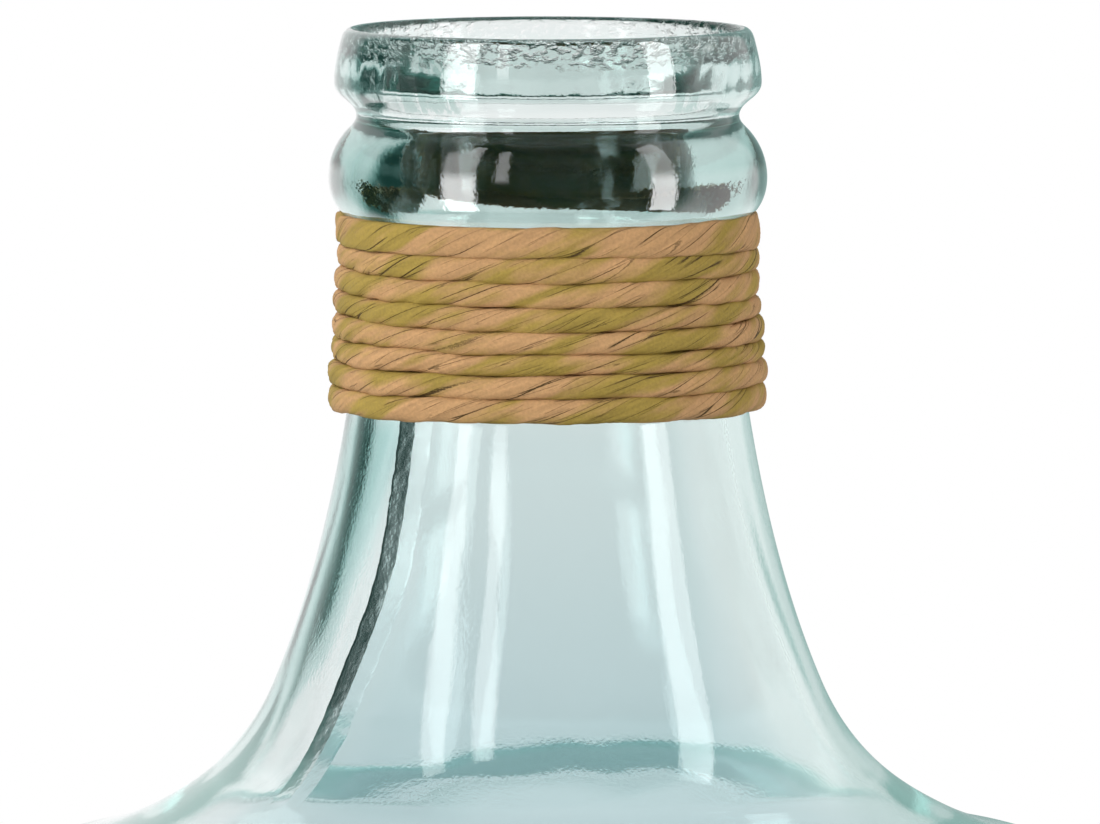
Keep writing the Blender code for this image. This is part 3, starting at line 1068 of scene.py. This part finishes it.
@dataclass
class Studio:
    """Pale floor, white surroundings and soft boxes.

    The windows and the far cards are seen in the glass's mirrored light and the cards through the
    glass. A dark card's strength is negative.
    """

    windows: tuple[Patch, ...] = (
        Patch(-54.0, -43.7, -42.0, 62.0, 4.4),
        Patch(-31.0, -22.5, 12.0, 61.0, 4.3, soft_low=10.0),
        Patch(56.0, 72.0, -38.0, 57.0, 4.4),
    )
    cards: tuple[Patch, ...] = (
        Patch(-150.0, -133.0, -24.0, 30.0, -0.9, soft=7.0, soft_low=14.0),
        Patch(-173.0, -157.0, -16.0, 11.0, 0.32, soft=6.0, soft_low=8.0),
        Patch(112.0, 136.0, -48.0, -6.0, -0.6, soft=10.0, soft_low=14.0),
        Patch(-160.0, -135.0, -100.0, -52.0, -0.6, soft=12.0),
        Patch(-190.0, -160.0, -100.0, -54.0, -0.25, soft=10.0),
        Patch(135.0, 190.0, -100.0, -54.0, -0.4, soft=10.0),
    )
    far_cards: tuple[Patch, ...] = (Patch(146.0, 190.0, -14.0, 34.0, -0.6, soft=12.0, soft_low=10.0),)
    window_narrowing: float = 0.25
    dark_left: Span = (-142.0, -118.0)
    dark_left_within: Span = (-158.0, -141.0)
    dark_left_lean: float = 0.55
    dark_right: Span = (70.0, 90.0)
    dark_top: Span = (68.0, 80.0)
    dark_top_share: float = 0.15
    darkness: float = 0.96
    mirrored_foot: Span = (-46.0, -38.0)
    mirrored_foot_share: float = 0.87
    shade_powers: Triple = (1.3, 0.92, 0.97)
    ambient: float = 0.3
    left_light: float = 1.1
    left_span: Span = (0.5, -1.0)
    top_light: float = 0.12
    top_span: Span = (0.2, 0.9)
    floor_radius: float = 1.5
    floor_drop: float = 0.2
    floor_glow: Span = (0.35, 1.2)
    floor_colour: Colour = (0.88, 0.88, 0.88, 1.0)
    camera_distance: float = 3.0
    camera_rise: float = 0.175
    aim_depth: float = 0.0901
    aim_right: float = 0.00053
    lens: float = 421.0
    clip_end: float = 50.0

    @staticmethod
    def patch_group() -> bpy.types.NodeTree:
        """Makes the shader group that masks one patch.

        Returns:
            The group.
        """
        tree = bpy.data.node_groups.new("studio_patch", "ShaderNodeTree")
        for name in ("Azimuth", "Elevation", "Left", "Right", "Low", "High", "Soft", "Soft Low"):
            tree.interface.new_socket(name, in_out="INPUT", socket_type="NodeSocketFloat")
        tree.interface.new_socket("Mask", in_out="OUTPUT", socket_type="NodeSocketFloat")
        sheet = NodeSheet(tree)
        given = sheet.add("NodeGroupInput").outputs

        def edge(inner: Socket, outer: Socket, soft: Socket) -> Socket:
            """Gives 0 to 1 across one edge, 1 where the first value is the larger."""
            return sheet.ramp(sheet.math("DIVIDE", sheet.math("SUBTRACT", inner, outer), soft), (-0.5, 0.5))

        around, up, soft = given["Azimuth"], given["Elevation"], given["Soft"]
        sides = edge(around, given["Left"], soft), edge(given["Right"], around, soft)
        ends = edge(up, given["Low"], given["Soft Low"]), edge(given["High"], up, soft)
        sheet.add("NodeGroupOutput", {"Mask": sheet.product(*sides, *ends)})
        return tree

    @staticmethod
    def patched(
        sheet: NodeSheet,
        group: bpy.types.NodeTree,
        patches: tuple[Patch, ...],
        way: tuple[Socket, Socket],
        level: object,
    ) -> Socket:
        """Adds patches to a level of light.

        Args:
            sheet: The world's nodes.
            group: The group that masks one patch.
            patches: The patches.
            way: Azimuth and elevation of the ray.
            level: The light without the patches.

        Returns:
            The light with the patches.
        """
        for patch in patches:
            inputs = {"Azimuth": way[0], "Elevation": way[1]}
            for name in ("left", "right", "low", "high", "soft", "soft_low"):
                inputs[name.replace("_", " ").title()] = getattr(patch, name)
            node = sheet.add("ShaderNodeGroup", node_tree=group)
            sheet.fill(node, inputs)
            level = sheet.math("MULTIPLY_ADD", node.outputs["Mask"], patch.strength, level)
        return level

    def dark(self, sheet: NodeSheet, azimuth: Socket, elevation: Socket, within: Socket) -> Socket:
        """Masks the dark side of the studio, which the glass mirrors.

        Args:
            sheet: The world's nodes.
            azimuth: The ray's azimuth.
            elevation: The ray's elevation.
            within: 1 for a ray that has run through the glass.

        Returns:
            The mask.
        """
        below = sheet.math("MINIMUM", elevation, 0.0)
        leaning = sheet.math("MULTIPLY_ADD", below, self.dark_left_lean, azimuth)
        outer = sheet.ramp(azimuth, self.dark_left)
        left = sheet.blend(within, outer, sheet.ramp(leaning, self.dark_left_within))
        right = sheet.ramp(azimuth, self.dark_right, 1.0, 0.0)
        return sheet.product(left, right, sheet.ramp(elevation, self.dark_top, 1.0, self.dark_top_share))

    def light(self) -> None:
        """Makes the world: white to the eye, with soft boxes and dark cards for the glass."""
        world = bpy.data.worlds.new("studio")
        bpy.context.scene.world = world
        world.use_nodes = True
        world.node_tree.nodes.clear()
        sheet = NodeSheet(world.node_tree)
        way = sheet.add("ShaderNodeTexCoord").outputs["Generated"]
        parts = sheet.add("ShaderNodeSeparateXYZ", {0: way}).outputs
        rays = sheet.add("ShaderNodeLightPath").outputs
        within = sheet.math("GREATER_THAN", rays["Transmission Depth"], 0.5)
        turned = sheet.math("GREATER_THAN", rays["Glossy Depth"], 0.5)
        azimuth = sheet.azimuth(parts)
        elevation = sheet.math("DEGREES", sheet.math("ARCSINE", parts["Z"]))
        level = sheet.math("SUBTRACT", 1.0, sheet.product(parts["Z"], parts["Z"]))
        narrowed = sheet.product(azimuth, sheet.math("POWER", level, self.window_narrowing))
        group = self.patch_group()
        boxes = self.patched(sheet, group, self.windows, (narrowed, elevation), 0.0)
        dark = self.dark(sheet, azimuth, elevation, within)
        mirrored = sheet.math("MULTIPLY_ADD", dark, -self.darkness, 1.0)
        foot = sheet.ramp(elevation, self.mirrored_foot, self.mirrored_foot_share, 1.0)
        mirrored = sheet.product(mirrored, foot)
        skin = self.patched(sheet, group, self.far_cards, (azimuth, elevation), mirrored)
        mirrored = sheet.blend(within, skin, mirrored)
        through = self.patched(sheet, group, self.cards, (azimuth, elevation), 1.0)
        around = sheet.blend(turned, through, mirrored)
        boxed = sheet.product(turned, boxes)
        shades = [sheet.math("POWER", around, power) for power in self.shade_powers]
        teal = [sheet.math("ADD", shade, boxed) for shade in shades]
        teal = sheet.add("ShaderNodeCombineColor", dict(enumerate(teal))).outputs[0]
        side_light = sheet.ramp(parts["X"], self.left_span, self.ambient, self.ambient + self.left_light)
        lit = sheet.math("ADD", boxes, side_light)
        lit = sheet.math("ADD", lit, sheet.ramp(parts["Z"], self.top_span, 0.0, self.top_light))
        sharp = sheet.math("MAXIMUM", rays["Is Glossy Ray"], rays["Is Transmission Ray"])
        seen = sheet.tone(rays["Is Camera Ray"], sheet.tone(sharp, lit, teal), WHITE)
        back = sheet.add("ShaderNodeBackground", {"Color": seen, "Strength": 1.0})
        sheet.add("ShaderNodeOutputWorld", {"Surface": back.outputs[0]})

    def floor(self) -> None:
        """Lays the pale floor, which turns into the white surroundings further out."""
        shape = bmesh.new()
        bmesh.ops.create_circle(shape, cap_ends=True, radius=self.floor_radius, segments=96)
        mesh = bpy.data.meshes.new("floor")
        shape.to_mesh(mesh)
        shape.free()
        floor = bpy.data.objects.new("floor", mesh)
        floor.location.z = -self.floor_drop * MM
        bpy.context.scene.collection.objects.link(floor)
        material = bpy.data.materials.new("pale_floor")
        material.use_nodes = True
        material.node_tree.nodes.clear()
        sheet = NodeSheet(material.node_tree)
        far = sheet.ramp(sheet.vector("LENGTH", sheet.point())["Value"], self.floor_glow)
        rays = sheet.add("ShaderNodeLightPath").outputs
        sharp = sheet.math("MAXIMUM", rays["Is Glossy Ray"], rays["Is Transmission Ray"])
        glowing = sheet.product(far, sheet.math("MAXIMUM", rays["Is Camera Ray"], sharp))
        matt = sheet.add("ShaderNodeBsdfDiffuse", {"Color": self.floor_colour}).outputs[0]
        glow = sheet.add("ShaderNodeEmission", {"Strength": 1.0}).outputs[0]
        mixed = sheet.add("ShaderNodeMixShader", {0: glowing, 1: matt, 2: glow}).outputs[0]
        sheet.add("ShaderNodeOutputMaterial", {"Surface": mixed})
        floor.data.materials.append(material)
        floor.visible_glossy = False
        floor.visible_transmission = False

    def camera(self) -> None:
        """Sets the camera as in the photograph, looking slightly down on the neck."""
        data = bpy.data.cameras.new("camera")
        data.lens = self.lens
        data.clip_end = self.clip_end
        camera = bpy.data.objects.new("camera", data)
        place = Vector((self.aim_right, -self.camera_distance, HEIGHT + self.camera_rise))
        aim = Vector((self.aim_right, 0.0, HEIGHT - self.aim_depth))
        camera.location = place
        camera.rotation_euler = (aim - place).to_track_quat("-Z", "Y").to_euler()
        bpy.context.scene.collection.objects.link(camera)
        bpy.context.scene.camera = camera

    def make(self) -> None:
        """Sets up the whole studio."""
        bpy.context.scene.view_settings.view_transform = "Standard"
        self.light()
        self.floor()
        self.camera()


def main() -> None:
    """Builds the vase's pieces and the studio."""
    logging.basicConfig(level=logging.INFO, format="%(name)s: %(message)s")
    GlassVessel().make()
    NeckRope().make()
    Studio().make()


if __name__ == "__main__":
    main()
